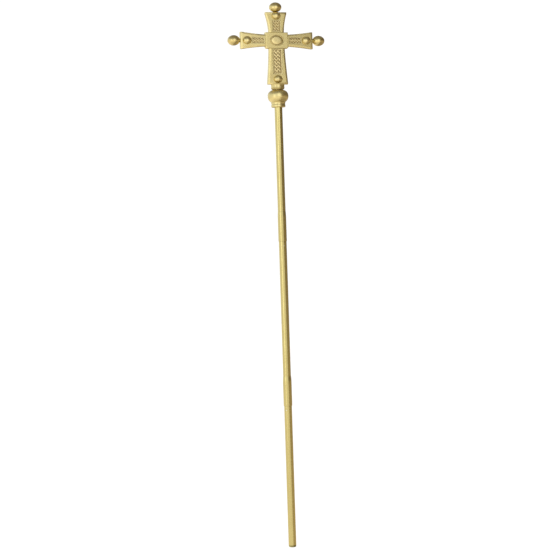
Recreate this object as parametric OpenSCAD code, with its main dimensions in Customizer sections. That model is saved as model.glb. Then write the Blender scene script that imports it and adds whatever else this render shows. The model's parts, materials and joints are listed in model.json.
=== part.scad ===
// Processional cross: a flared metal cross on a turned knop and a staff in three
// sections that draw apart. Origin at the centre of the staff's foot, +Z up the
// staff, the decorated face towards -Y. Millimetres.

/* [Staff] */
// Outside diameter of the staff tubes
staff_d = 30; // [29:0.5:31]
// Wall of the staff tubes
tube_wall = 1.5; // [1.2:0.1:2]
// Height of the lower joint, where the middle section stands on the lower one
lower_joint_z = 602; // [580:2:620]
// Height of the upper joint, where the upper section stands on the middle one
upper_joint_z = 1237; // [1200:1:1260]
// Length of the sleeve round each joint
sleeve_len = 114; // [104:2:120]
// Outside diameter of the lower joint's sleeve
lower_sleeve_d = 33.4; // [32.4:0.2:34]
// Outside diameter of the upper joint's sleeve
upper_sleeve_d = 32.4; // [32:0.2:33.6]
// Height of the band on the foot cap
foot_band_h = 8; // [6:1:12]

/* [Knop] */
// Height of the collar's lower edge above the foot
collar_z = 1697; // [1690:1:1703]
// Diameter of the knop at its widest
knop_d = 80; // [76:1:84]
// Diameter of the neck between knop and cross
neck_d = 52.6; // [50:0.2:55]

/* [Cross] */
// Height of the middle of the cross above the foot
cross_z = 1954; // [1950:1:1960]
// Reach of the side arms from the middle
side_reach = 145; // [140:1:150]
// Reach of the top arm from the middle
top_reach = 109; // [104:1:112]
// Thickness of the whole cross, half of it in each of the two castings
cross_t = 16; // [15:0.5:18]
// Width of the rectangular block in the middle
block_w = 90; // [86:1:94]
// Height of the rectangular block in the middle
block_h = 62; // [60:1:64]

/* [Ornament] */
// Width of the balls at the arm ends
ball_d = 48; // [45:0.5:50]
// Width of the domed bosses on the arms
boss_w = 35; // [32:0.5:36]
// Width of the oval medallion
medallion_w = 56; // [52:1:60]
// How far the interlace stands proud of the face
relief_h = 1.5; // [1:0.1:2]

/* [Hidden] */
$fn = 96;
// Running clearance, on the radius, between parts that slide or turn on each other
fit = 0.05;
// Clearance, on the radius, between a tube and the sleeve it slides into
sleeve_fit = 0.25;
staff_r = staff_d / 2;
tube_r = staff_r - tube_wall;
half_sleeve = sleeve_len / 2;

// Spigots: a hollow bar pinned in the section below each joint
spigot_wall = 2.5;
spigot_up = 50;
spigot_down = 88;
spigot_chamfer = 1.5;
pin_r = 2;
pin_drop = 17;
lower_pin_turn = -42;
upper_pin_turn = 6;

// Knop stack, from the collar up to the cross
collar_h = 22;
collar_top_r = 28;
knop_h = 52;
knop_z = collar_z + 17;
knop_top_z = knop_z + knop_h;
ring_h = 3;
neck_z = knop_top_z + ring_h;
neck_h = 16;
cross_foot_z = neck_z + neck_h;
bottom_reach = cross_z - cross_foot_z;
socket_wall = 3;
socket_r = staff_r + fit;
socket_out_r = socket_r + socket_wall;
lip = 2;
nut_h = 16;
nut_z = knop_top_z - nut_h;
plug_flange = 2;
plug_depth = 14;
knop_wall = 2;
knop_steps = 28;
knop_power = 2.4;
knop_low_h = 31;
knop_low_power = 2.2;

// Threaded rod that joins the cross to the knop
rod_r = 5;
rod_tip_z = nut_z + 2;
rod_top_z = cross_foot_z + 60;

// Set screw in the collar, on the back
screw_z = collar_z + 9;
screw_r = 2.95;
screw_out = 28;
slot_w = 1;
slot_depth = 1.6;

// Cross outline
half_t = cross_t / 2;
arm_land = 7;
top_flare = 1.8;
side_flare = 1.5;
bottom_flare = 1.35;
flare_steps = 8;
top_inner = 30;
top_outer = 42;
side_inner = 23;
side_outer = 32.5;
bottom_inner = 31.2;
bottom_outer = 40.4;
corner_clip = 4;
block_proud = 2.5;
rim = 5;
face_wall = 3.5;
lug_r = 7.5;
end_lug = [20, 16];
rod_lug = [18, 66];

// Interlace panels: size, and the middle of each from the middle of the cross
panel_seat = 1.5;
side_panel = [53, 27];
side_panel_x = 74.5;
top_panel = [35.5, 47];
top_panel_z = 56;
bottom_panel = [41, 99.5];
bottom_panel_z = -81;
strand_w = 2.6;

// Bosses and balls
boss_squash = 0.86;
boss_depth = 15;
boss_inboard = 26;
top_boss_z = top_reach - 14;
bottom_boss_z = -bottom_reach + 20;
boss_stud_r = 2.5;
stud_nut_r = 5;
stud_nut_h = 5;
ball_squash = 0.825;
top_ball_squash = 0.79;
ball_gap = 25.7;
ball_wall = 3;
ball_stud_r = 3;
ball_stud_in = 10;
ball_stud_out = 14;
ball_collar_r = 7;
ball_steps = 24;
bezel_h = 3;
bezel_w = 4.5;
medallion_squash = 0.745;

brass = "#d8c67e";
dark_brass = "#a98f4c";
steel = "#b9b7ae";

// ---- Shared shapes ----

module tube(r_out, r_in, z0, z1) {
    difference() {
        translate([0, 0, z0]) cylinder(h = z1 - z0, r = r_out);
        translate([0, 0, z0 - 1]) cylinder(h = z1 - z0 + 2, r = r_in);
    }
}

// Pin hole or pin straight across the staff, turned about it
module across_staff(z, turn, r, reach) {
    translate([0, 0, z]) rotate([0, 0, turn]) rotate([90, 0, 0])
        cylinder(h = 2 * reach, r = r, center = true);
}

// A staff tube: full diameter up to the joint's sleeve, and slightly less inside it
module staff_tube(z0, z1, pin_turn) {
    neck_z0 = z1 - half_sleeve;
    difference() {
        union() {
            translate([0, 0, z0]) cylinder(h = neck_z0 - z0, r = staff_r);
            translate([0, 0, neck_z0]) cylinder(h = z1 - neck_z0, r = staff_r - sleeve_fit);
        }
        translate([0, 0, z0 - 1]) cylinder(h = z1 - z0 + 2, r = tube_r);
        across_staff(neck_z0 - pin_drop, pin_turn, pin_r, staff_d);
    }
}

// Hollow spigot pinned in the section below a joint
module spigot(joint_z, pin_turn) {
    difference() {
        union() {
            translate([0, 0, joint_z - spigot_down]) cylinder(h = spigot_down, r = tube_r);
            translate([0, 0, joint_z])
                cylinder(h = spigot_up - spigot_chamfer, r = tube_r - fit);
            translate([0, 0, joint_z + spigot_up - spigot_chamfer])
                cylinder(h = spigot_chamfer, r1 = tube_r - fit, r2 = tube_r - spigot_chamfer);
        }
        translate([0, 0, joint_z - spigot_down - 1])
            cylinder(h = spigot_down + spigot_up + 2, r = tube_r - spigot_wall);
        across_staff(joint_z - half_sleeve - pin_drop, pin_turn, pin_r, staff_d);
    }
}

// Pin dressed flush with the outside of the tube
module staff_pin(joint_z, pin_turn) {
    z = joint_z - half_sleeve - pin_drop;
    intersection() {
        across_staff(z, pin_turn, pin_r, staff_d);
        translate([0, 0, z - 2 * pin_r]) cylinder(h = 4 * pin_r, r = staff_r - fit);
    }
}

// Sleeve fixed round the foot of the upper section, tapered into it at the top
module sleeve(joint_z, d) {
    r = d / 2;
    taper = 16;
    edge = 0.6;
    z0 = joint_z - half_sleeve;
    z1 = joint_z + half_sleeve;
    rotate_extrude() polygon([
        [staff_r, z0], [r - edge, z0], [r, z0 + edge],
        [r, z1 - taper], [staff_r + 0.4, z1], [staff_r, z1]
    ]);
}

// Half-widths along one flared arm, from the block out to its end
function flare(s0, s1, h0, h1, power) = concat(
    [for (i = [0 : flare_steps]) let (u = i / flare_steps)
        [s0 + u * (s1 - arm_land - s0), h0 + (h1 - h0) * pow(u, power)]],
    [[s1, h1]]
);
function back_to_front(list) = [for (i = [len(list) - 1 : -1 : 0]) list[i]];

// One side of the whole outline, from the top arm's end down to the foot
function half_outline(inset) = let (
    bw = block_w / 2 - inset,
    bh = block_h / 2 - inset,
    top = flare(bh, top_reach - inset, top_inner - inset, top_outer - inset, top_flare),
    side = flare(bw, side_reach - inset, side_inner - inset, side_outer - inset, side_flare),
    foot = flare(bh, bottom_reach - inset, bottom_inner - inset, bottom_outer - inset,
        bottom_flare)
) concat(
    [for (p = back_to_front(top)) [p[1], p[0]]],
    [[bw, bh]],
    [for (p = side) [p[0], p[1]]],
    [for (p = back_to_front(side)) [p[0], -p[1]]],
    [[bw, corner_clip - bh], [bw - corner_clip, -bh]],
    [for (p = foot) [p[1], -p[0]]]
);
function outline(inset) = let (half = half_outline(inset)) concat(
    half, [for (p = back_to_front(half)) [-p[0], p[1]]]
);

// Extrude an outline drawn in X and Z towards -Y, starting at y
module slab(y, t) {
    translate([0, y, cross_z]) rotate([90, 0, 0]) linear_extrude(height = t) children();
}

// Round bar along Y through the cross
module along_y(x, z, r, y0, y1) {
    translate([x, y0, cross_z + z]) rotate([-90, 0, 0]) cylinder(h = y1 - y0, r = r);
}

// Places of the four bosses from the middle of the cross
boss_places = [
    [0, top_boss_z], [0, bottom_boss_z],
    [boss_inboard - side_reach, 0], [side_reach - boss_inboard, 0]
];

// Holes for the boss studs, the end studs and the rod, cut from both castings
module casting_holes() {
    for (p = boss_places) along_y(p[0], p[1], boss_stud_r, -cross_t, cross_t);
    end_studs(ball_stud_r);
    translate([0, 0, cross_foot_z - 1]) cylinder(h = rod_top_z - cross_foot_z + 1, r = rod_r);
}

// Pocket that lightens a casting, with lugs left for the studs and the rod
module pocket(y) {
    difference() {
        slab(y, half_t - face_wall) polygon(outline(rim));
        for (p = boss_places) along_y(p[0], p[1], lug_r, -cross_t, cross_t);
        for (side = [-1, 1])
            translate([side * (side_reach - rim) - end_lug[0] / 2, -cross_t, cross_z - end_lug[1] / 2])
                cube([end_lug[0], 2 * cross_t, end_lug[1]]);
        translate([-end_lug[1] / 2, -cross_t, cross_z + top_reach - end_lug[0]])
            cube([end_lug[1], 2 * cross_t, end_lug[0]]);
        translate([-rod_lug[0] / 2, -cross_t, cross_foot_z])
            cube([rod_lug[0], 2 * cross_t, rod_lug[1]]);
    }
}

// Studs that hold the three balls
module end_studs(r) {
    span = ball_stud_in + ball_stud_out;
    for (side = [-1, 1])
        translate([side * (side_reach - ball_stud_in + span / 2), 0, cross_z])
            rotate([0, 90, 0]) cylinder(h = span, r = r, center = true);
    translate([0, 0, cross_z + top_reach - ball_stud_in]) cylinder(h = span, r = r);
}

// Half of an ellipse about the Z axis, for turned balls
function oval_profile(r, rz, n) = [for (i = [0 : n]) let (a = -90 + 180 * i / n)
    [max(0, r * cos(a)), rz * sin(a)]];

// Hollow oblate ball, trimmed flat where its collar meets it
module ball(squash, flat_side) {
    r = ball_d / 2;
    rz = r * squash;
    reach = (flat_side[2] != 0) ? rz : r;
    trim = reach - 1;
    difference() {
        rotate_extrude() polygon(oval_profile(r, rz, ball_steps));
        rotate_extrude() polygon(oval_profile(r - ball_wall, rz - ball_wall, ball_steps));
        translate([flat_side[0] * (trim + ball_d / 2), 0, flat_side[2] * (trim + ball_d / 2)])
            cube(ball_d, center = true);
        rotate([0, flat_side[0] * 90, 0]) rotate([flat_side[2] < 0 ? 180 : 0, 0, 0])
            cylinder(h = reach + 1, r = ball_stud_r);
    }
}

// Domed boss standing on the front face
module boss(x, z) {
    translate([x, -half_t, cross_z + z]) intersection() {
        scale([boss_w / 2, boss_depth, boss_w / 2 * boss_squash]) sphere(r = 1);
        translate([-boss_w, -boss_w, -boss_w]) cube([2 * boss_w, boss_w, 2 * boss_w]);
    }
}

// Oval drawn in X and Z
module oval(w) {
    scale([1, medallion_squash]) circle(r = w / 2);
}

// Interlace panel: a plate in a shallow seat, a raised border and crossing strands
module interlace(x, z, size, columns) {
    border = 2.4;
    w = size[0];
    h = size[1];
    pitch = (columns > 0 ? w : h) / 2;
    reach = w + h;
    translate([x, -half_t, cross_z + z]) {
        translate([-w / 2, 0, -h / 2]) cube([w, panel_seat, h]);
        difference() {
            translate([-w / 2, -relief_h, -h / 2]) cube([w, relief_h, h]);
            translate([border - w / 2, -2 * relief_h, border - h / 2])
                cube([w - 2 * border, 3 * relief_h, h - 2 * border]);
        }
        intersection() {
            translate([-w / 2 + 1, -relief_h, -h / 2 + 1]) cube([w - 2, relief_h, h - 2]);
            union() for (lean = [-45, 45], k = [-12 : 12])
                translate([k * pitch, 0, 0]) rotate([0, lean, 0])
                    translate([-strand_w / 2, -relief_h, -reach / 2])
                        cube([strand_w, relief_h, reach]);
        }
    }
}

// Seat cut in the front casting for a panel
module panel_cut(x, z, size) {
    translate([x - size[0] / 2, -half_t - 1, cross_z + z - size[1] / 2])
        cube([size[0], panel_seat + 1, size[1]]);
}

// ---- Staff ----

module lower_tube() {
    color(brass) staff_tube(foot_band_h, lower_joint_z, lower_pin_turn);
}
module foot_cap() {
    band_r = staff_r - 0.4;
    edge = 2;
    color(dark_brass) union() {
        rotate_extrude() polygon([
            [0, 0], [band_r - edge, 0], [band_r, edge], [band_r, foot_band_h], [0, foot_band_h]
        ]);
        translate([0, 0, foot_band_h]) cylinder(h = plug_depth, r = tube_r);
    }
}
module lower_spigot() { color(dark_brass) spigot(lower_joint_z, lower_pin_turn); }
module lower_pin() { color(steel) staff_pin(lower_joint_z, lower_pin_turn); }
module middle_tube() { color(brass) staff_tube(lower_joint_z, upper_joint_z, upper_pin_turn); }
module lower_sleeve() { color(brass) sleeve(lower_joint_z, lower_sleeve_d); }
module upper_spigot() { color(dark_brass) spigot(upper_joint_z, upper_pin_turn); }
module upper_pin() { color(steel) staff_pin(upper_joint_z, upper_pin_turn); }
module upper_tube() { color(brass) tube(staff_r, tube_r, upper_joint_z, nut_z - plug_flange); }
module upper_sleeve() { color(brass) sleeve(upper_joint_z, upper_sleeve_d); }
module staff_top_plug() {
    color(dark_brass) union() {
        translate([0, 0, nut_z - plug_flange - plug_depth]) cylinder(h = plug_depth, r = tube_r);
        translate([0, 0, nut_z - plug_flange]) cylinder(h = plug_flange, r = staff_r);
    }
}

// ---- Knop ----

module set_screw_hole(r) {
    translate([0, 0, screw_z]) rotate([-90, 0, 0]) cylinder(h = screw_out + 10, r = r);
}
module lower_collar() {
    color(brass) difference() {
        rotate_extrude() polygon([
            [socket_r, collar_z], [collar_top_r - 1.8, collar_z],
            [collar_top_r - 1, collar_z + 1], [collar_top_r - 0.8, collar_z + 9],
            [collar_top_r, collar_z + collar_h], [socket_out_r, collar_z + collar_h],
            [socket_out_r, collar_z + lip], [socket_r, collar_z + lip]
        ]);
        set_screw_hole(screw_r + fit);
        knop_solid(0);
    }
}
module socket_tube() {
    color(dark_brass) difference() {
        tube(socket_out_r, socket_r, collar_z + lip, nut_z);
        set_screw_hole(screw_r + fit);
    }
}

// Full-bellied turned profile: a longer quarter oval below and a fuller one above
function knop_profile(r, low_h, high_h) = [for (i = [0 : knop_steps])
    let (a = -90 + 180 * i / knop_steps, c = max(0, cos(a)), s = sin(a),
        power = s < 0 ? knop_low_power : knop_power, half_h = s < 0 ? low_h : high_h)
    [r * pow(c, 2 / power), sign(s) * half_h * pow(abs(s), 2 / power)]];

module knop_solid(inset) {
    translate([0, 0, knop_z + knop_h / 2]) rotate_extrude()
        polygon(knop_profile(knop_d / 2 - inset, knop_low_h - inset, knop_h / 2 - inset));
}
module knop_shell() {
    color(brass) difference() {
        knop_solid(0);
        knop_solid(knop_wall);
        translate([0, 0, collar_z]) cylinder(h = knop_top_z - collar_z + 1, r = socket_out_r);
    }
}
module knop_nut() { color(dark_brass) tube(socket_out_r, rod_r + fit, nut_z, knop_top_z); }
module set_screw() {
    reach = staff_r + 0.02;
    color(steel) difference() {
        translate([0, reach, screw_z]) rotate([-90, 0, 0])
            cylinder(h = screw_out - reach, r = screw_r);
        translate([-screw_r - 1, screw_out - slot_depth, screw_z - slot_w / 2])
            cube([2 * screw_r + 2, slot_depth + 1, slot_w]);
    }
}

// ---- Cross ----

module neck_ring() { color(dark_brass) tube(neck_d / 2 - 1.8, rod_r + fit, knop_top_z, neck_z); }
module neck() {
    color(brass) difference() {
        translate([0, 0, neck_z]) cylinder(h = neck_h, r = neck_d / 2);
        translate([0, 0, neck_z - 1]) cylinder(h = neck_h + 2, r = rod_r);
    }
}
module cross_rod() {
    color(dark_brass) difference() {
        translate([0, 0, rod_tip_z]) cylinder(h = rod_top_z - rod_tip_z, r = rod_r);
        along_y(0, bottom_boss_z, boss_stud_r, -cross_t, cross_t);
    }
}
module front_casting() {
    color(brass) difference() {
        slab(0, half_t) polygon(outline(0));
        pocket(0);
        casting_holes();
        panel_cut(0, top_panel_z, top_panel);
        panel_cut(0, bottom_panel_z, bottom_panel);
        for (side = [-1, 1]) panel_cut(side * side_panel_x, 0, side_panel);
    }
}
module back_casting() {
    color(brass) difference() {
        slab(half_t, half_t) polygon(outline(0));
        pocket(half_t - face_wall);
        casting_holes();
    }
}
module block_slab(y) {
    bw = block_w / 2;
    bh = block_h / 2;
    slab(y, block_proud) polygon([
        [-bw, bh], [bw, bh], [bw, corner_clip - bh], [bw - corner_clip, -bh],
        [corner_clip - bw, -bh], [-bw, corner_clip - bh]
    ]);
}
module front_block() { color(brass) block_slab(-half_t); }
module back_block() { color(brass) block_slab(half_t + block_proud); }
module medallion_bezel() {
    color(brass) slab(-half_t - block_proud, bezel_h) difference() {
        oval(medallion_w);
        scale([1, medallion_squash]) circle(r = medallion_w / 2 - bezel_w);
    }
}
module medallion_disc() {
    color(brass) slab(-half_t - block_proud, bezel_h / 2)
        scale([1, medallion_squash]) circle(r = medallion_w / 2 - bezel_w);
}
module top_panel_inlay() { color(dark_brass) interlace(0, top_panel_z, top_panel, 1); }
module bottom_panel_inlay() { color(dark_brass) interlace(0, bottom_panel_z, bottom_panel, 1); }
module left_panel_inlay() { color(dark_brass) interlace(-side_panel_x, 0, side_panel, 0); }
module right_panel_inlay() { color(dark_brass) interlace(side_panel_x, 0, side_panel, 0); }
module top_boss() { color(brass) boss_with_hole(boss_places[0]); }
module bottom_boss() { color(brass) boss_with_hole(boss_places[1]); }
module left_boss() { color(brass) boss_with_hole(boss_places[2]); }
module right_boss() { color(brass) boss_with_hole(boss_places[3]); }

// Blind hole in the back of each boss for its stud
stud_in_boss = 8;
module boss_with_hole(p) {
    difference() {
        boss(p[0], p[1]);
        along_y(p[0], p[1], boss_stud_r, -half_t - stud_in_boss, 0);
    }
}
module boss_studs() {
    color(steel) for (p = boss_places)
        along_y(p[0], p[1], boss_stud_r, -half_t - stud_in_boss, half_t + 4);
}
module stud_nuts() {
    dome = 1.5;
    color(brass) for (p = boss_places) translate([p[0], half_t, cross_z + p[1]])
        rotate([-90, 0, 0]) difference() {
            union() {
                cylinder(h = stud_nut_h - dome, r = stud_nut_r);
                translate([0, 0, stud_nut_h - dome])
                    cylinder(h = dome, r1 = stud_nut_r, r2 = stud_nut_r - dome);
            }
            translate([0, 0, -1]) cylinder(h = 5, r = boss_stud_r);
        }
}

// Middles of the balls beyond the arm ends
top_ball_rz = ball_d / 2 * top_ball_squash;
module top_ball() {
    color(brass) translate([0, 0, cross_z + top_reach + top_ball_rz + 0.6])
        ball(top_ball_squash, [0, 0, -1]);
}
module left_ball() {
    color(brass) translate([-side_reach - ball_gap, 0, cross_z])
        ball(ball_squash, [1, 0, 0]);
}
module right_ball() {
    color(brass) translate([side_reach + ball_gap, 0, cross_z])
        ball(ball_squash, [-1, 0, 0]);
}
module ball_studs() { color(steel) end_studs(ball_stud_r); }
module ball_collars() {
    gap = ball_gap - ball_d / 2 + 1;
    color(dark_brass) {
        for (side = [-1, 1])
            translate([side * (side_reach + gap / 2), 0, cross_z])
                rotate([0, 90, 0]) difference() {
                    cylinder(h = gap, r = ball_collar_r, center = true);
                    cylinder(h = gap + 2, r = ball_stud_r, center = true);
                }
        translate([0, 0, cross_z + top_reach])
            tube(ball_collar_r, ball_stud_r, 0, 1.6);
    }
}

lower_tube();
foot_cap();
lower_spigot();
lower_pin();
middle_tube();
lower_sleeve();
upper_spigot();
upper_pin();
upper_tube();
upper_sleeve();
staff_top_plug();
lower_collar();
socket_tube();
knop_shell();
knop_nut();
set_screw();
neck_ring();
neck();
cross_rod();
front_casting();
back_casting();
front_block();
back_block();
medallion_bezel();
medallion_disc();
top_panel_inlay();
bottom_panel_inlay();
left_panel_inlay();
right_panel_inlay();
top_boss();
bottom_boss();
left_boss();
right_boss();
boss_studs();
stud_nuts();
top_ball();
left_ball();
right_ball();
ball_studs();
ball_collars();
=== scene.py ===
"""Looks of the processional cross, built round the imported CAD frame, in metres."""
import json
import math

import bpy
import bmesh
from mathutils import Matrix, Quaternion, Vector


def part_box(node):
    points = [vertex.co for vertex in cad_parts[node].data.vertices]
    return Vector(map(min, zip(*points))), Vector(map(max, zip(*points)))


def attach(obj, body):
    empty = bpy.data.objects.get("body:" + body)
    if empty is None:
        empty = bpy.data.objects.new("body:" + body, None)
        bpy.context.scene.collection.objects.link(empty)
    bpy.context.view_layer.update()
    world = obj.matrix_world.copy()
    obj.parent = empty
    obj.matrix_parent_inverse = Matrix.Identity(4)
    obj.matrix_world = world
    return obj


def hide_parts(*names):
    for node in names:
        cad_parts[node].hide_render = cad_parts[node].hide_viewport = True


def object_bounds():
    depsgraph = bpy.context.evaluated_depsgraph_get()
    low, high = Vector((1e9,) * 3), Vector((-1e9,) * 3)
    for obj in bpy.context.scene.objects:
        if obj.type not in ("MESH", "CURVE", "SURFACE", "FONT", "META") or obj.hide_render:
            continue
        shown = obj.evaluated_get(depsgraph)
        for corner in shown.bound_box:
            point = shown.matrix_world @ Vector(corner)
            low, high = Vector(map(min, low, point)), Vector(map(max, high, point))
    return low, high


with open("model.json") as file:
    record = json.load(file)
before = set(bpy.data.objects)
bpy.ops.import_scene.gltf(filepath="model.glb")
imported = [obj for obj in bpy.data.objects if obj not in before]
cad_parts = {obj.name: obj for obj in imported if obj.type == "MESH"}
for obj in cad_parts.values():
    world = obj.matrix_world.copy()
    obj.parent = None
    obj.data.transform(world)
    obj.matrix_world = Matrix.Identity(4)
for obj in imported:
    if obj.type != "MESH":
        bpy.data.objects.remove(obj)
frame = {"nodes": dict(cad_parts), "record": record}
cad_lo, cad_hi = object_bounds()

MM = 0.001
RECORD = frame["record"]
BODY_OF = {n: b for b, nodes in RECORD["behaviour"]["bodies"].items() for n in nodes}
SLOT_OF = {s["node"]: s["material_slot"] for s in RECORD["subparts"]}


# ---------------------------------------------------------------- camera and stage

VIEW_AZIMUTH = math.radians(-17)
VIEW_DISTANCE = 7.0
VIEW_ROLL = math.radians(1.85)
VIEW_MARGIN = 1.0095
VIEW_ASIDE = -0.0339
SENSOR = 36.0


def make_camera():
    height = cad_hi.z - cad_lo.z
    data = bpy.data.cameras.new("camera")
    data.sensor_width = SENSOR
    data.lens = SENSOR * VIEW_DISTANCE / (height * VIEW_MARGIN)
    data.clip_end = 100
    cam = bpy.data.objects.new("camera", data)
    bpy.context.scene.collection.objects.link(cam)
    back = Vector((math.sin(VIEW_AZIMUTH), -math.cos(VIEW_AZIMUTH), 0))
    right = Vector((math.cos(VIEW_AZIMUTH), math.sin(VIEW_AZIMUTH), 0))
    cam.rotation_mode = "QUATERNION"
    turn = (-back).to_track_quat("-Z", "Y")
    cam.rotation_quaternion = turn @ Quaternion((0, 0, 1), -VIEW_ROLL)
    cam.location = Vector((0, 0, height / 2)) + back * VIEW_DISTANCE + right * VIEW_ASIDE
    bpy.context.scene.camera = cam


def make_stage():
    """A pale floor under a soft light from the front and the left."""
    scene = bpy.context.scene
    scene.view_settings.view_transform = "Standard"
    mesh = bpy.data.meshes.new("floor")
    reach = 30
    corners = [(-reach, -reach, 0), (reach, -reach, 0), (reach, reach, 0), (-reach, reach, 0)]
    mesh.from_pydata(corners, [], [(0, 1, 2, 3)])
    floor = bpy.data.objects.new("floor", mesh)
    scene.collection.objects.link(floor)
    floor.location.z = cad_lo.z
    floor.visible_glossy = False
    mat = bpy.data.materials.new("floor_white")
    mat.use_nodes = True
    bsdf = mat.node_tree.nodes["Principled BSDF"]
    bsdf.inputs["Base Color"].default_value = (0.9, 0.9, 0.9, 1)
    bsdf.inputs["Roughness"].default_value = 1
    bsdf.inputs["Emission Color"].default_value = (1, 1, 1, 1)
    bsdf.inputs["Emission Strength"].default_value = 0.8
    mesh.materials.append(mat)
    make_room(scene)
    add_softbox("left_softbox", (-3.3, -2.2, 1.5), (0, 0, 1.2), 1.5, 2.4, 9.5)
    add_softbox("head_softbox", (0.0, -0.7, 2.0), (0, 0, 2.0), 0.5, 0.76, 0.66)


def add_softbox(name, place, aim, width, height, power):
    data = bpy.data.lights.new(name, "AREA")
    data.shape = "RECTANGLE"
    data.size = width
    data.size_y = height
    data.energy = power
    lamp = bpy.data.objects.new(name, data)
    bpy.context.scene.collection.objects.link(lamp)
    lamp.location = place
    lamp.visible_camera = False
    lamp.rotation_mode = "QUATERNION"
    lamp.rotation_quaternion = (Vector(aim) - Vector(place)).to_track_quat("-Z", "Y")


# The room from straight down (0) to straight up (1), as (place, brightness, blue), on its bright and dim side
BRIGHT_SIDE = ((0.0, 0.8, 0.8), (0.25, 1.15, 0.8), (0.43, 0.92, 0.84), (0.58, 0.95, 1.03), (0.74, 0.62, 1.0),
               (0.85, 0.36, 0.9), (1.0, 0.27, 0.85))
DARK_SIDE = ((0.0, 0.35, 0.6), (0.3, 0.4, 0.6), (0.43, 0.62, 0.6), (0.5, 0.27, 0.55), (0.56, 0.15, 0.5),
             (0.8, 0.2, 0.65), (1.0, 0.27, 0.85))
DIM_AZIMUTH = math.radians(95)
DIM_EDGE = (0.08, 0.26)


def make_room(scene):
    """White to the camera; in reflections a pale room with a dim side on the right."""
    world = bpy.data.worlds.new("room")
    scene.world = world
    world.use_nodes = True
    nodes, links = world.node_tree.nodes, world.node_tree.links
    nodes.clear()
    coords = nodes.new("ShaderNodeTexCoord")
    level = nodes.new("ShaderNodeVectorMath")
    level.operation = "MULTIPLY"
    level.inputs[1].default_value = (1, 1, 0)
    links.new(coords.outputs["Generated"], level.inputs[0])
    unit = nodes.new("ShaderNodeVectorMath")
    unit.operation = "NORMALIZE"
    links.new(level.outputs["Vector"], unit.inputs[0])
    dot = nodes.new("ShaderNodeVectorMath")
    dot.operation = "DOT_PRODUCT"
    dot.inputs[1].default_value = (math.sin(DIM_AZIMUTH), -math.cos(DIM_AZIMUTH), 0)
    links.new(unit.outputs["Vector"], dot.inputs[0])
    side = nodes.new("ShaderNodeMapRange")
    side.interpolation_type = "SMOOTHSTEP"
    side.inputs["From Min"].default_value, side.inputs["From Max"].default_value = DIM_EDGE
    links.new(dot.outputs["Value"], side.inputs["Value"])

    split = nodes.new("ShaderNodeSeparateXYZ")
    links.new(coords.outputs["Generated"], split.inputs["Vector"])
    rise = nodes.new("ShaderNodeMapRange")
    rise.inputs["From Min"].default_value = -1
    links.new(split.outputs["Z"], rise.inputs["Value"])
    mix = nodes.new("ShaderNodeMix")
    mix.data_type = "RGBA"
    links.new(side.outputs["Result"], mix.inputs["Factor"])
    for socket, stops in (("A", BRIGHT_SIDE), ("B", DARK_SIDE)):
        ramp = nodes.new("ShaderNodeValToRGB")
        ramp.color_ramp.interpolation = "EASE"
        elements = ramp.color_ramp.elements
        while len(elements) < len(stops):
            elements.new(0.5)
        for element, (place, value, blue) in zip(elements, stops):
            element.position = place
            element.color = (value, value * (0.55 + 0.45 * blue), value * blue, 1)
        links.new(rise.outputs["Result"], ramp.inputs["Fac"])
        links.new(ramp.outputs["Color"], mix.inputs[socket])

    seen = nodes.new("ShaderNodeBackground")
    seen.inputs["Color"].default_value = (1, 1, 1, 1)
    seen.inputs["Strength"].default_value = 1.05
    room = nodes.new("ShaderNodeBackground")
    links.new(mix.outputs["Result"], room.inputs["Color"])
    path = nodes.new("ShaderNodeLightPath")
    choose = nodes.new("ShaderNodeMixShader")
    links.new(path.outputs["Is Camera Ray"], choose.inputs["Fac"])
    links.new(room.outputs["Background"], choose.inputs[1])
    links.new(seen.outputs["Background"], choose.inputs[2])
    out = nodes.new("ShaderNodeOutputWorld")
    links.new(choose.outputs["Shader"], out.inputs["Surface"])


make_camera()
make_stage()


# ---------------------------------------------------------------- materials


def node_of(tree, kind, **values):
    node = tree.nodes.new(kind)
    for name, value in values.items():
        if name in node.inputs:
            node.inputs[name].default_value = value
        else:
            setattr(node, name, value)
    return node


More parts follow.
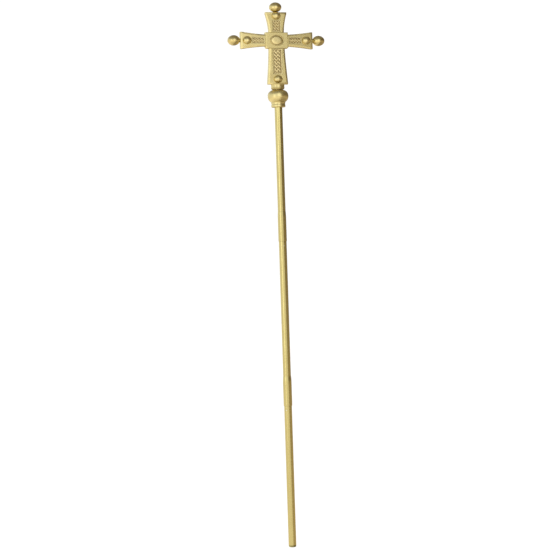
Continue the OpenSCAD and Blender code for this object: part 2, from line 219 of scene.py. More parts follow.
def metal(name, light, dark, rough, stretch=(1, 1, 1), grain=900, bump=0.02, tarnish=0.35, wear_and_sheen=0.25,
          recess=None, sunk_shade=0.85):
    """Satin metal: cloudy tarnish, fine brushing along one axis, painted shade in crevices, and edges
    lightened as rubbed wear and painted highlight.
    """
    mat = bpy.data.materials.new(name)
    mat.use_nodes = True
    tree = mat.node_tree
    link = tree.links.new
    bsdf = tree.nodes["Principled BSDF"]
    bsdf.inputs["Metallic"].default_value = 1
    coords = node_of(tree, "ShaderNodeTexCoord")

    cloud = node_of(tree, "ShaderNodeTexNoise", Scale=22.0, Detail=6.0, Roughness=0.6)
    link(coords.outputs["Object"], cloud.inputs["Vector"])
    cloud_map = node_of(tree, "ShaderNodeMapRange")
    cloud_map.inputs["From Min"].default_value = 0.35
    cloud_map.inputs["From Max"].default_value = 0.75
    cloud_map.inputs["To Max"].default_value = tarnish
    link(cloud.outputs["Fac"], cloud_map.inputs["Value"])
    tone = node_of(tree, "ShaderNodeMix", data_type="RGBA")
    tone.inputs["A"].default_value = (*light, 1)
    tone.inputs["B"].default_value = (*dark, 1)
    link(cloud_map.outputs["Result"], tone.inputs["Factor"])

    # painted shade: the colour is darkened where ambient occlusion finds crevices and contacts
    crevice = node_of(tree, "ShaderNodeAmbientOcclusion", samples=8)
    crevice.inputs["Distance"].default_value = 0.004
    crevice_map = node_of(tree, "ShaderNodeMapRange")
    crevice_map.inputs["From Min"].default_value = 0.25
    crevice_map.inputs["From Max"].default_value = 0.95
    crevice_map.inputs["To Min"].default_value = 0.5
    crevice_map.inputs["To Max"].default_value = 0.0
    link(crevice.outputs["AO"], crevice_map.inputs["Value"])
    # painted shade colour, a near-black brass, mixed in by the crevice factor
    painted_shade = node_of(tree, "ShaderNodeMix", data_type="RGBA")
    painted_shade.inputs["B"].default_value = (dark[0] * 0.3, dark[1] * 0.26, dark[2] * 0.2, 1)
    link(tone.outputs["Result"], painted_shade.inputs["A"])
    link(crevice_map.outputs["Result"], painted_shade.inputs["Factor"])
    if recess:
        # painted shade in the sunk ground of a relief, darker between two depths along Y
        depth = node_of(tree, "ShaderNodeSeparateXYZ")
        link(coords.outputs["Object"], depth.inputs["Vector"])
        sunk = node_of(tree, "ShaderNodeMapRange")
        sunk.inputs["From Min"].default_value, sunk.inputs["From Max"].default_value = recess
        sunk.inputs["To Max"].default_value = sunk_shade
        link(depth.outputs["Y"], sunk.inputs["Value"])
        deepest = node_of(tree, "ShaderNodeMath", operation="MAXIMUM")
        link(crevice_map.outputs["Result"], deepest.inputs[0])
        link(sunk.outputs["Result"], deepest.inputs[1])
        link(deepest.outputs["Value"], painted_shade.inputs["Factor"])

    # rubbed wear and painted highlight: convex edges found by pointiness are lightened towards a paler brass
    geometry = node_of(tree, "ShaderNodeNewGeometry")
    edge = node_of(tree, "ShaderNodeMapRange")
    edge.inputs["From Min"].default_value = 0.52
    edge.inputs["From Max"].default_value = 0.62
    edge.inputs["To Max"].default_value = wear_and_sheen
    link(geometry.outputs["Pointiness"], edge.inputs["Value"])
    rubbed_and_sheen = node_of(tree, "ShaderNodeMix", data_type="RGBA")
    rubbed_and_sheen.inputs["B"].default_value = (*[min(1, c * 1.18 + 0.03) for c in light], 1)
    link(painted_shade.outputs["Result"], rubbed_and_sheen.inputs["A"])
    link(edge.outputs["Result"], rubbed_and_sheen.inputs["Factor"])
    link(rubbed_and_sheen.outputs["Result"], bsdf.inputs["Base Color"])

    brush_map = node_of(tree, "ShaderNodeMapping")
    brush_map.inputs["Scale"].default_value = stretch
    link(coords.outputs["Object"], brush_map.inputs["Vector"])
    brush = node_of(tree, "ShaderNodeTexNoise", Scale=float(grain), Detail=3.0, Roughness=0.7)
    link(brush_map.outputs["Vector"], brush.inputs["Vector"])
    rough_map = node_of(tree, "ShaderNodeMapRange")
    rough_map.inputs["From Min"].default_value = 0.3
    rough_map.inputs["From Max"].default_value = 0.7
    rough_map.inputs["To Min"].default_value = rough - 0.06
    rough_map.inputs["To Max"].default_value = rough + 0.07
    link(brush.outputs["Fac"], rough_map.inputs["Value"])
    rough_sum = node_of(tree, "ShaderNodeMath", operation="MULTIPLY_ADD")
    rough_sum.inputs[1].default_value = 0.18
    link(cloud_map.outputs["Result"], rough_sum.inputs[0])
    link(rough_map.outputs["Result"], rough_sum.inputs[2])
    link(rough_sum.outputs["Value"], bsdf.inputs["Roughness"])

    ripple = node_of(tree, "ShaderNodeBump")
    ripple.inputs["Strength"].default_value = bump
    ripple.inputs["Distance"].default_value = 0.0006
    link(brush.outputs["Fac"], ripple.inputs["Height"])
    dents = node_of(tree, "ShaderNodeTexNoise", Scale=60.0, Detail=2.0)
    link(coords.outputs["Object"], dents.inputs["Vector"])
    waver = node_of(tree, "ShaderNodeBump")
    waver.inputs["Strength"].default_value = 0.12
    waver.inputs["Distance"].default_value = 0.0012
    link(dents.outputs["Fac"], waver.inputs["Height"])
    link(ripple.outputs["Normal"], waver.inputs["Normal"])
    link(waver.outputs["Normal"], bsdf.inputs["Normal"])
    bsdf.inputs["Coat Weight"].default_value = 0.25
    bsdf.inputs["Coat Roughness"].default_value = 0.3
    return mat


BRASS = (0.83, 0.72, 0.34)
BRASS_DARK = (0.62, 0.46, 0.16)
ALONG_Z = (1, 1, 0.04)
ROUND_Z = (0.06, 0.06, 1)
EVEN = (1, 1, 1)
# depth bands along Y where the sunk grounds get painted shade
PANEL_GROUND = (-7.9 * MM, -7.1 * MM)
MEDALLION_GROUND = (-11.3 * MM, -10.6 * MM)
MATERIALS = {
    "satin_brass": metal("satin_brass", BRASS, BRASS_DARK, 0.33, EVEN, 1100, 0.05, 0.3),
    "ball_brass": metal("ball_brass", (0.79, 0.67, 0.30), BRASS_DARK, 0.28, ROUND_Z, 1500, 0.03, 0.35),
    "relief_brass": metal("relief_brass", (0.92, 0.79, 0.42), BRASS_DARK, 0.33, EVEN, 1300, 0.06, 0.3, 0.5,
                          recess=PANEL_GROUND, sunk_shade=0.7),
    "medallion_brass": metal("medallion_brass", (0.86, 0.74, 0.36), BRASS_DARK, 0.3, EVEN, 1100, 0.05, 0.3,
                             0.4, recess=MEDALLION_GROUND),
    "staff_brass": metal("staff_brass", (0.72, 0.62, 0.26), (0.54, 0.43, 0.13), 0.23,
                         ALONG_Z, 2600, 0.05, 0.25),
    "turned_brass": metal("turned_brass", (0.73, 0.60, 0.25), (0.5, 0.37, 0.12), 0.41,
                          ROUND_Z, 2200, 0.06, 0.4),
    "foot_brass": metal("foot_brass", (0.5, 0.46, 0.2), (0.3, 0.26, 0.1), 0.42,
                        ROUND_Z, 2200, 0.08, 0.7, 0.3),
    "pin_steel": metal("pin_steel", (0.86, 0.84, 0.76), (0.6, 0.57, 0.48), 0.25, EVEN, 2000, 0.03, 0.2),
}


# ---------------------------------------------------------------- mesh helpers


def piece(name, verts, faces, node, extra=(), sharp=34, look=None):
    """A mesh that stands for a CAD node, on that node's body and in its material slot."""
    mesh = bpy.data.meshes.new(name)
    mesh.from_pydata([tuple(v) for v in verts], [], faces)
    bm = bmesh.new()
    bm.from_mesh(mesh)
    bmesh.ops.remove_doubles(bm, verts=bm.verts, dist=1e-7)
    bmesh.ops.recalc_face_normals(bm, faces=bm.faces)
    bm.to_mesh(mesh)
    bm.free()
    mesh.polygons.foreach_set("use_smooth", [True] * len(mesh.polygons))
    mesh.set_sharp_from_angle(angle=math.radians(sharp))
    obj = bpy.data.objects.new(name, mesh)
    bpy.context.scene.collection.objects.link(obj)
    mesh.materials.append(MATERIALS[look or SLOT_OF[node]])
    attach(obj, BODY_OF[node])
    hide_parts(node, *extra)
    return obj


def soften(points, radius, steps=4, closed=True):
    """A 2-D outline with each corner rounded by up to radius (one value, or one for each corner)."""
    radii = radius if isinstance(radius, (list, tuple)) else [radius] * len(points)
    count = len(points)
    out = []
    for i, (point, r) in enumerate(zip(points, radii)):
        if (not closed and i in (0, count - 1)) or r <= 0:
            out.append(tuple(point))
            continue
        corner = Vector(point)
        before, after = Vector(points[i - 1]), Vector(points[(i + 1) % count])
        reach = min(r, (before - corner).length * 0.49, (after - corner).length * 0.49)
        start = corner + (before - corner).normalized() * reach
        end = corner + (after - corner).normalized() * reach
        for k in range(steps + 1):
            t = k / steps
            out.append(tuple(start * (1 - t) ** 2 + corner * 2 * t * (1 - t) + end * t * t))
    return out


def guarded(profile, closed, long_run=6 * MM, guard=1 * MM):
    """The profile with a point near each end of every long run, so that shading stays even along it."""
    out = []
    last = len(profile) - 1
    for i, point in enumerate(profile):
        out.append(point)
        a, b = Vector(point), Vector(profile[(i + 1) % len(profile)])
        run = (b - a).length
        if run > long_run and (closed or i < last):
            step = (b - a) * (guard / run)
            out += [tuple(a + step), tuple(b - step)]
    return out


def lathe(profile, centre=(0, 0), turns=96, closed=True):
    """Turned solid from (radius, z) points: a closed ring profile, or one with both ends on the axis."""
    profile = guarded(profile, closed)
    verts, faces = [], []
    for r, z in profile:
        for k in range(turns):
            a = 2 * math.pi * k / turns
            verts.append((centre[0] + r * math.cos(a), centre[1] + r * math.sin(a), z))
    rows = len(profile)
    for i in range(rows if closed else rows - 1):
        j = (i + 1) % rows
        for k in range(turns):
            m = (k + 1) % turns
            faces.append((i * turns + k, i * turns + m, j * turns + m, j * turns + k))
    return verts, faces


def stack(loops, cap_first=True, cap_last=True):
    """Solid from loops of equal length, one inside or behind the next."""
    count = len(loops[0])
    verts = [p for loop in loops for p in loop]
    faces = []
    for i in range(len(loops) - 1):
        for k in range(count):
            m = (k + 1) % count
            faces.append((i * count + k, i * count + m, (i + 1) * count + m, (i + 1) * count + k))
    if cap_first:
        faces.append(tuple(range(count)))
    if cap_last:
        faces.append(tuple(range((len(loops) - 1) * count, len(loops) * count)))
    return verts, faces


def joined(*parts):
    """Several parts as one list of points and one of faces."""
    verts, faces = [], []
    for part_verts, part_faces in parts:
        base = len(verts)
        verts += part_verts
        faces += [tuple(i + base for i in f) for f in part_faces]
    return verts, faces


# ---------------------------------------------------------------- staff


def staff_tubes():
    """Drawn tubes with softened ends. The lower two are slightly slimmer inside the sleeves."""
    wall = 1.5 * MM
    fit = 0.25 * MM
    sleeves = {"lower_tube": "lower_sleeve", "middle_tube": "upper_sleeve", "upper_tube": None}
    for node, sleeve in sleeves.items():
        lo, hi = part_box(node)
        r = hi.x
        if sleeve:
            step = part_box(sleeve)[0].z
            outer = [(r, lo.z), (r, step), (r - fit, step + 2 * fit), (r - fit, hi.z)]
            radii = [0.4 * MM, 0, 0, 0.5 * MM]
        else:
            outer = [(r, lo.z), (r, hi.z)]
            radii = [0.4 * MM, 0.4 * MM]
        inner = [(r - wall, hi.z), (r - wall, lo.z)]
        piece(node + "_drawn", *lathe(soften(outer + inner, radii + [0.2 * MM] * 2)), node)


def staff_sleeves():
    """Ferrules round the joints, with a crisp step below and a taper above."""
    edge = 0.5 * MM
    taper = 16 * MM
    for node in ("lower_sleeve", "upper_sleeve"):
        lo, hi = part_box(node)
        r = hi.x
        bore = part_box("lower_tube")[1].x
        profile = [(bore, lo.z), (r, lo.z), (r, lo.z + 3 * MM), (r, hi.z - taper),
                   (bore + 0.35 * MM, hi.z), (bore, hi.z)]
        piece(node + "_ferrule", *lathe(soften(profile, [0.1 * MM, edge, 0, 5 * MM, 0.2 * MM, 0])), node)


def staff_pins():
    """The pins' ends, peened into low domes over the tube. Each pin has its own angle about the staff."""
    r_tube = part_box("lower_tube")[1].x
    dome = [(0, 0.35), (0.5, 0.30), (0.85, 0.12), (1, -0.4)]
    turns = 24
    for node, angle in (("lower_pin", -42), ("upper_pin", 6)):
        lo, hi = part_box(node)
        middle = Vector((0, 0, (lo.z + hi.z) / 2))
        r_pin = (hi.z - lo.z) / 2
        along = Vector((math.sin(math.radians(angle)), -math.cos(math.radians(angle)), 0))
        side = Vector((-along.y, along.x, 0))
        ends = []
        for sign in (-1, 1):
            loops = []
            for r, t in dome:
                out = middle + along * sign * (r_tube + t * MM)
                spokes = [2 * math.pi * k / turns for k in range(turns)]
                loops.append([out + (side * math.cos(a) + Vector((0, 0, math.sin(a)))) * max(r * r_pin, 1e-5)
                              for a in spokes])
            ends.append(stack(loops))
        piece(node + "_peened", *joined(*ends), node)


def foot_cap():
    """Solid foot with a rounded lower edge and a plug that goes up into the tube."""
    lo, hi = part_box("foot_cap")
    tube_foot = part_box("lower_tube")[0].z
    r = hi.x
    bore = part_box("lower_spigot")[1].x
    profile = [(0, lo.z), (r * 0.72, lo.z), (r, lo.z + 2.6 * MM), (r, tube_foot), (bore, tube_foot),
               (bore, hi.z), (0, hi.z)]
    rounded = soften(profile, [0, 6 * MM, 3 * MM, 0.3 * MM, 0, 0.5 * MM, 0], closed=False)
    rounded = [(max(p[0], 1e-5), p[1]) for p in rounded]
    verts, faces = lathe(rounded, closed=False)
    turns = 96
    faces.append(tuple(range(turns)))
    faces.append(tuple(range(len(verts) - turns, len(verts))))
    piece("foot_cap_turned", verts, faces, "foot_cap", look="foot_brass")


staff_tubes()
staff_sleeves()
staff_pins()
foot_cap()


# ---------------------------------------------------------------- knop and neck


def knop():
    """Full-bellied spun shell: a longer half below its widest place and a fuller one above."""
    lo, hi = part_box("knop_shell")
    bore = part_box("socket_tube")[1].x
    r = hi.x
    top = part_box("neck_ring")[0].z
    middle = top - 26 * MM
    halves = {-1: (31 * MM, 2.2), 1: (26 * MM, 2.4)}
    steps = 72
    outer = []
    for i in range(steps + 1):
        a = -math.pi / 2 + math.pi * i / steps
        sign = 1 if a >= 0 else -1
        half, power = halves[sign]
        radius = r * max(0, math.cos(a)) ** (2 / power)
        z = middle + sign * half * abs(math.sin(a)) ** (2 / power)
        if radius > bore and lo.z <= z <= hi.z:
            outer.append((radius, z))
    inner = [(bore + 0.02 * MM, outer[-1][1]), (bore + 0.02 * MM, outer[0][1])]
    piece("knop_spun", *lathe(outer + inner, turns=160), "knop_shell", sharp=40)


def collar():
    """Turned collar with a band, a cove and a flared top, over the knop's socket."""
    lo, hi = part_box("lower_collar")
    r = hi.x
    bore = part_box("upper_tube")[1].x + 0.05 * MM
    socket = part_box("socket_tube")[1].x
    top = hi.z - 0.3 * MM
    profile = [(bore, lo.z), (r - 1.4 * MM, lo.z), (r - 0.5 * MM, lo.z + 1.0 * MM),
               (r - 0.5 * MM, lo.z + 8 * MM), (r - 1.3 * MM, lo.z + 9.5 * MM),
               (r - 1.3 * MM, lo.z + 13.5 * MM), (r - 0.3 * MM, lo.z + 17 * MM), (r - 0.6 * MM, top),
               (socket, top), (socket, lo.z + 2 * MM), (bore, lo.z + 2 * MM)]
    radii = [0.2 * MM, 0.8 * MM, 0.9 * MM, 1.0 * MM, 1.0 * MM, 1.0 * MM, 0.8 * MM, 0.5 * MM, 0, 0, 0]
    piece("lower_collar_turned", *lathe(soften(profile, radii), turns=128), "lower_collar")


def neck():
    """Plain neck between two beads, and the loose ring under it."""
    lo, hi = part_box("neck")
    r = hi.x
    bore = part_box("cross_rod")[1].x
    profile = [(bore, lo.z), (r, lo.z), (r, lo.z + 2.4 * MM), (r - 0.7 * MM, lo.z + 3.4 * MM),
               (r - 0.7 * MM, hi.z - 3.2 * MM), (r, hi.z - 2 * MM), (r, hi.z), (bore, hi.z)]
    radii = [0, 1.0 * MM, 0.6 * MM, 0.8 * MM, 0.8 * MM, 0.6 * MM, 0.8 * MM, 0]
    piece("neck_turned", *lathe(soften(profile, radii), turns=128), "neck")
    lo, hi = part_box("neck_ring")
    bore += 0.05 * MM
    profile = [(bore, lo.z), (hi.x, lo.z), (hi.x, hi.z), (bore, hi.z)]
    piece("neck_ring_turned", *lathe(soften(profile, [0, 0.7 * MM, 0.7 * MM, 0]), turns=128), "neck_ring")


knop()
collar()
neck()


# ---------------------------------------------------------------- the cross

CENTRE = (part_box("front_block")[0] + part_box("front_block")[1]) / 2
CENTRE = Vector((0, 0, CENTRE.z))
PLATE_LO, PLATE_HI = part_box("front_casting")
HALF_T = -PLATE_LO.y
BLOCK_LO, BLOCK_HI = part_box("front_block")
BLOCK_W, BLOCK_H = BLOCK_HI.x, (BLOCK_HI.z - BLOCK_LO.z) / 2
TOP_REACH = PLATE_HI.z - CENTRE.z
FOOT_REACH = CENTRE.z - PLATE_LO.z
SIDE_REACH = PLATE_HI.x
TOP_HALF = (30 * MM, 42 * MM)
SIDE_HALF = (23 * MM, 32.5 * MM)
FOOT_HALF = (31.2 * MM, 40.4 * MM)
ARM_LAND = 7 * MM
TOP_FLARE, SIDE_FLARE, FOOT_FLARE = 1.8, 1.5, 1.35
CLIP = 4 * MM


def flare(start, end, halves, power, inset, steps=20):
    """(distance from the middle, half-width) down one arm, from the block to the arm's end."""
    near, far = halves[0] - inset, halves[1] - inset
    end -= inset
    points = []
    for i in range(steps + 1):
        u = i / steps
        points.append((start + u * (end - ARM_LAND - start), near + (far - near) * u ** power))
    return points + [(end, far)]


def outline(inset):
    """The cross's outline, (x, z) from its middle, drawn in by inset."""
    w, h = BLOCK_W - inset, BLOCK_H - inset
    top = flare(h, TOP_REACH, TOP_HALF, TOP_FLARE, inset)
    side = flare(w, SIDE_REACH, SIDE_HALF, SIDE_FLARE, inset)
    foot = flare(h, FOOT_REACH, FOOT_HALF, FOOT_FLARE, inset)
    half = [(b, a) for a, b in reversed(top)] + [(w, h)] + side
    half += [(a, -b) for a, b in reversed(side)] + [(w, CLIP - h), (w - CLIP, -h)]
    half += [(b, -a) for a, b in foot]
    return half + [(-x, z) for x, z in reversed(half)]


def ring_at(points, y):
    """Points (x, z) from the middle of the cross, put at y."""
    return [(x, y, CENTRE.z + z) for x, z in points]


def filled(outer, holes, y):
    """A flat face at y with rectangular holes in it."""
    bm = bmesh.new()
    edges = []
    for loop in [outer] + holes:
        verts = [bm.verts.new((x, y, CENTRE.z + z)) for x, z in loop]
        edges += [bm.edges.new((verts[i], verts[(i + 1) % len(verts)])) for i in range(len(verts))]
    bmesh.ops.triangle_fill(bm, use_beauty=True, use_dissolve=False, edges=edges)
    bm.verts.index_update()
    verts = [tuple(v.co) for v in bm.verts]
    faces = [tuple(v.index for v in f.verts) for f in bm.faces]
    bm.free()
    return verts, faces


def rectangle(lo, hi, grow=0.0):
    """A box's upright rectangle, (x, z) from the middle of the cross, made larger by grow."""
    x0, x1 = lo.x - grow, hi.x + grow
    z0, z1 = lo.z - CENTRE.z - grow, hi.z - CENTRE.z + grow
    return [(x0, z0), (x1, z0), (x1, z1), (x0, z1)]


PANELS = ("top_panel_inlay", "bottom_panel_inlay", "left_panel_inlay", "right_panel_inlay")
BEVEL_W = 6.5 * MM
BEVEL_D = 0.7 * MM


def casting(name, node, sign, holes):
    """One half of the cross: upright sides, a wide sloping bevel and a flat face with panel seats."""
    seat = 1.5 * MM
    gap = 0.25 * MM
    face = sign * HALF_T
    levels = [(0, 0), (0, HALF_T - BEVEL_D - 0.5 * MM), (0.25 * MM, HALF_T - BEVEL_D - 0.12 * MM),
              (0.7 * MM, HALF_T - BEVEL_D + 0.1 * MM), (BEVEL_W - 0.5 * MM, HALF_T - 0.22 * MM),
              (BEVEL_W, HALF_T - 0.04 * MM), (BEVEL_W + 0.6 * MM, HALF_T), (BEVEL_W + 1.1 * MM, HALF_T)]
    loops = [ring_at(outline(inset), sign * depth) for inset, depth in levels]
    body = stack(loops, cap_last=False)
    rects = [rectangle(*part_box(h), grow=gap) for h in holes]
    front = filled(outline(levels[-1][0]), rects, face)
    parts = [body, front]
    for rect in rects:
        top, floor = ring_at(rect, face), ring_at(rect, face - sign * seat)
        parts.append(stack([top, floor], cap_first=False, cap_last=True))
    piece(name, *joined(*parts), node, sharp=24)


def block(name, node, sign):
    """Rectangular block in the middle, with softened edges and its two lower corners clipped."""
    w, h, c = BLOCK_W, BLOCK_H, CLIP
    depth = BLOCK_HI.y - BLOCK_LO.y
    edge = 1.6 * MM

    def corners(inset):
        a, b = w - inset, h - inset
        return [(-a, b), (a, b), (a, c - b), (a - c, -b), (c - a, -b), (-a, c - b)]

    levels = [(0, 0), (0, depth - edge), (0.3 * MM, depth - 0.7 * edge), (edge, depth - 0.1 * MM),
              (edge + 0.4 * MM, depth), (edge + 1 * MM, depth)]
    loops = [ring_at(corners(i), sign * (HALF_T + d)) for i, d in levels]
    piece(name, *stack(loops), node, sharp=24)


casting("front_casting_cast", "front_casting", -1, PANELS)
casting("back_casting_cast", "back_casting", 1, ())
block("front_block_cast", "front_block", -1)
block("back_block_cast", "back_block", 1)


def medallion():
    """Oval rim between two sunk lines, and a low domed disc in it."""
    lo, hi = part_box("medallion_bezel")
    a, b = hi.x, (hi.z - lo.z) / 2
    base, crown = hi.y, lo.y
    wide = 4.5 * MM
    turns = 128

    def oval(inset, y):
        return [((a - inset) * math.cos(2 * math.pi * k / turns), y,
                 CENTRE.z + (b - inset) * math.sin(2 * math.pi * k / turns)) for k in range(turns)]

    section = [(0, base), (0.05 * MM, base - 0.2 * MM), (1.0 * MM, base - 0.25 * MM),
               (1.5 * MM, crown + 0.4 * MM), (2.0 * MM, crown + 0.05 * MM), (2.5 * MM, crown),
               (3.0 * MM, crown + 0.05 * MM), (3.5 * MM, crown + 0.4 * MM),
               (wide - 0.3 * MM, base - 0.4 * MM), (wide, base)]
    loops = [oval(i, y) for i, y in section]
    piece("medallion_rim", *stack(loops + [loops[0]], cap_first=False, cap_last=False), "medallion_bezel",
          look="medallion_brass")

    lo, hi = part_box("medallion_disc")
    low, high = hi.y, lo.y
    floor, gutter = low - 0.2 * MM, wide + 1.5 * MM
    rings = []
    steps = 14
    for k in range(steps):
        t = k / (steps - 1)
        inset = gutter + t * (b - gutter - 0.5 * MM)
        dome = math.sqrt(max(0.0, 1 - (1 - t) ** 2))
        rings.append(oval(inset, floor + (high - floor) * dome))
    edge = wide + 0.2 * MM
    piece("medallion_dome", *stack([oval(edge, low), oval(edge, floor)] + rings), "medallion_disc",
          look="medallion_brass")


medallion()


# ---------------------------------------------------------------- interlace


def plait(width, length, strands, period, strand_w, rise, base, place):
    """Flat plait of several strands that pass over and under each other and turn at the borders.
    place turns (across, out, along) into a point."""
    reach = width / 2 - strand_w / 2
    count = int(length / (0.9 * MM))
    parts = []
    for s in range(strands):
        rows = []
        for i in range(count + 1):
            along = -length / 2 + length * i / count
            u = along / period + s / strands + 0.13
            across = reach * 1.06 * math.asin(0.985 * math.sin(2 * math.pi * u)) / (math.pi / 2)
            heading = max(-1.0, min(1.0, 3 * math.sin(2 * math.pi * (u + 0.25))))
            weave = math.cos(2 * math.pi * strands * (u + 0.25)) * heading
            rows.append((across, rise * (0.5 + 0.33 * weave), along))
        parts.append(ribbon(rows, strand_w, rise, base, place))
    return parts


def ribbon(rows, width, rise, base_y, place):
    """Half-round strand along points (across, out, along), closed underneath."""
    section = [(-1, -0.75), (-0.94, -0.15), (-0.7, 0.14), (-0.35, 0.27), (0, 0.31), (0.35, 0.27),
               (0.7, 0.14), (0.94, -0.15), (1, -0.75)]
    loops = []
    for i, (across, out, along) in enumerate(rows):
        before, after = rows[max(i - 1, 0)], rows[min(i + 1, len(rows) - 1)]
        tangent = Vector((after[0] - before[0], after[2] - before[2])).normalized()
        normal = Vector((tangent.y, -tangent.x))
        loops.append([place(across + normal.x * s * width / 2, base_y + out + t * rise,
                            along + normal.y * s * width / 2) for s, t in section])
    return stack(loops)


def border(w, h, levels, place):
    """Rectangular moulding: levels are (inset, height) from the outer edge to the inner one."""
    loops = []
    for inset, out in levels:
        a, b = w / 2 - inset, h / 2 - inset
        loops.append([place(-a, out, -b), place(a, out, -b), place(a, out, b), place(-a, out, b)])
    return stack(loops, cap_first=False, cap_last=False)


def panel(node, strands, period, strand_w, bar=0.0):
    """Sunk panel with a raised border, in a groove, and a plait on its ground; bar adds an inner border."""
    lo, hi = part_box(node)
    middle = (lo + hi) / 2
    face = -HALF_T
    seat = hi.y - face
    rise = face - lo.y
    size_x, size_z = hi.x - lo.x, hi.z - lo.z
    upright = size_z > size_x
    w, h = (size_x, size_z) if upright else (size_z, size_x)

    def place(across, out, along):
        if upright:
            return (middle.x + across, face - out, middle.z + along)
        return (middle.x + along, face - out, middle.z - across)

    ground = -1.25 * MM
    levels = [(0, -seat), (0, -1.1 * MM), (1.3 * MM, -1.1 * MM), (1.6 * MM, rise * 0.7),
              (1.8 * MM, rise * 0.86), (3.2 * MM, rise * 0.86), (3.5 * MM, rise * 0.7)]
    inner = 3.8 * MM
    if bar:
        levels += [(inner, 0), (inner + 0.7 * MM, -0.2 * MM), (inner + 1.0 * MM, rise * 0.6),
                   (inner + 1.4 * MM, rise * 0.75), (inner + bar - 0.4 * MM, rise * 0.75),
                   (inner + bar, rise * 0.6)]
        inner += bar + 0.2 * MM
    levels.append((inner, ground))
    frame_part = border(w, h, levels, place)
    a, b = w / 2 - inner, h / 2 - inner
    bed = ([place(-a, ground, -b), place(a, ground, -b), place(a, ground, b),
            place(-a, ground, b)], [(0, 1, 2, 3)])
    under = ([place(-w / 2, -seat, -h / 2), place(w / 2, -seat, -h / 2), place(w / 2, -seat, h / 2),
              place(-w / 2, -seat, h / 2)], [(3, 2, 1, 0)])
    cords = plait(2 * a - 2.0 * MM, 2 * b - 1.2 * MM, strands, period, strand_w, rise, -0.55 * MM, place)
    piece(node + "_plait", *joined(frame_part, bed, under, *cords), node, sharp=40)


panel("top_panel_inlay", 4, 45 * MM, 3.9 * MM)
panel("bottom_panel_inlay", 3, 42 * MM, 4.9 * MM, bar=2.2 * MM)
panel("left_panel_inlay", 3, 34 * MM, 3.8 * MM)
panel("right_panel_inlay", 3, 34 * MM, 3.8 * MM)


# ---------------------------------------------------------------- bosses, balls and small parts


def bosses():
    """Four half-round oval bosses, flat on the face of the cross."""
    for node in ("top_boss", "bottom_boss", "left_boss", "right_boss"):
        lo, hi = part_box(node)
        middle = (lo + hi) / 2
        a, b, depth = (hi.x - lo.x) / 2, (hi.z - lo.z) / 2, hi.y - lo.y
        turns, steps = 96, 28
        loops = []
        for k in range(steps + 1):
            t = math.pi / 2 * k / steps
            scale = max(math.cos(t), 0.002)
            loops.append([(middle.x + a * scale * math.cos(2 * math.pi * m / turns),
                           hi.y - depth * math.sin(t),
                           middle.z + b * scale * math.sin(2 * math.pi * m / turns)) for m in range(turns)])
        piece(node + "_dome", *stack(loops), node, sharp=50)


def balls():
    """Oval balls, cut flat where they meet their collars."""
    for node in ("top_ball", "left_ball", "right_ball"):
        lo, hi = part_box(node)
        r = hi.y
        if node == "top_ball":
            rz = r * 0.79
            centre = Vector((0, 0, hi.z - rz))
            flat = (0, -1)
        else:
            rz = (hi.z - lo.z) / 2
            centre = Vector((hi.x - r if node == "right_ball" else lo.x + r, 0, (lo.z + hi.z) / 2))
            flat = (-1 if node == "right_ball" else 1, 0)
        turns, steps = 96, 64
        limit = (rz if flat[1] else r) - 1.0 * MM
        loops = []
        for k in range(steps + 1):
            a = -math.pi / 2 + math.pi * k / steps
            ring = []
            for m in range(turns):
                b = 2 * math.pi * m / turns
                radius = max(r * math.cos(a), 1e-5)
                x, y, z = radius * math.cos(b), radius * math.sin(b), rz * math.sin(a)
                if flat[0] and x * flat[0] > limit:
                    x = limit * flat[0]
                if flat[1] and z * flat[1] > limit:
                    z = limit * flat[1]
                ring.append((centre.x + x, centre.y + y, centre.z + z))
            loops.append(ring)
        piece(node + "_spun", *stack(loops), node, sharp=50)


def collars():
    """Short necks between the arms and the balls, slightly waisted."""
    r = 7 * MM
    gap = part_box("ball_collars")[1].x - SIDE_REACH
    spokes = [2 * math.pi * k / 48 for k in range(48)]
    parts = []
    for axis, start, length in (((-1, 0, 0), SIDE_REACH, gap), ((1, 0, 0), SIDE_REACH, gap),
                                ((0, 0, 1), TOP_REACH, 1.6 * MM)):
        out = Vector(axis)
        side = Vector((0, 1, 0))
        up = out.cross(side)
        loops = []
        for t in (0, 0.5, 1):
            radius = r - 0.8 * MM * math.sin(math.pi * t)
            middle = CENTRE + out * (start + t * length)
            loops.append([middle + (side * math.cos(a) + up * math.sin(a)) * radius for a in spokes])
        parts.append(stack(loops))
    piece("ball_collars_turned", *joined(*parts), "ball_collars")


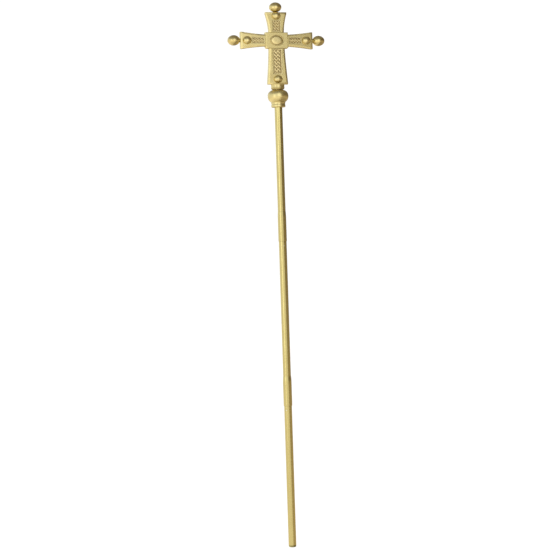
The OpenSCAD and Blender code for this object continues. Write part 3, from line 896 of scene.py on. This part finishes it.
def nuts():
    """Domed hexagon nuts on the back."""
    lo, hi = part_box("stud_nuts")
    base, crown = lo.y, hi.y
    height = crown - base
    parts = []
    for node in ("top_boss", "bottom_boss", "left_boss", "right_boss"):
        b_lo, b_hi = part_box(node)
        x, z = (b_lo.x + b_hi.x) / 2, (b_lo.z + b_hi.z) / 2
        across = 5 * MM
        turns = 48

        def hexagon(k, size):
            a = 2 * math.pi * k / turns
            sector = (a % (math.pi / 3)) - math.pi / 6
            return size * math.cos(math.pi / 6) / math.cos(sector), a

        loops = []
        for size, t, round_part in ((1, 0, 0), (1, 0.42, 0), (0.93, 0.52, 0.6), (0.72, 0.56, 1),
                                    (0.70, 0.66, 1), (0.62, 0.82, 1), (0.42, 0.95, 1), (0.02, 1.0, 1)):
            ring = []
            for k in range(turns):
                hex_r, a = hexagon(k, across * size)
                r = hex_r * (1 - round_part) + across * size * 0.9 * round_part
                ring.append((x + r * math.cos(a), base + t * height, z + r * math.sin(a)))
            loops.append(ring)
        parts.append(stack(loops))
    piece("stud_nuts_domed", *joined(*parts), "stud_nuts", sharp=30)


def threaded_rod():
    """The rod with a real 1.5 mm pitch screw thread on it."""
    lo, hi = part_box("cross_rod")
    r = hi.x
    pitch, depth = 1.5 * MM, 0.75 * MM
    turns, per_turn = 36, 8
    rows = int((hi.z - lo.z) / pitch * per_turn)
    loops = []
    for i in range(rows + 1):
        z = lo.z + (hi.z - lo.z) * i / rows
        ring = []
        for k in range(turns):
            a = 2 * math.pi * k / turns
            phase = ((z - lo.z) / pitch - k / turns) % 1.0
            groove = abs(phase - 0.5) * 2
            taper = min(1.0, (z - lo.z) / (1.2 * MM) + 0.55)
            radius = (r - depth * (1 - groove)) * min(1.0, taper)
            ring.append((radius * math.cos(a), radius * math.sin(a), z))
        loops.append(ring)
    piece("cross_rod_threaded", *stack(loops), "cross_rod", sharp=60)


bosses()
balls()
collars()
nuts()
threaded_rod()


# ---------------------------------------------------------------- CAD nodes that stay

for node_name, node_object in frame["nodes"].items():
    if node_object.hide_render:
        continue
    node_object.data.materials.clear()
    node_object.data.materials.append(MATERIALS[SLOT_OF[node_name]])
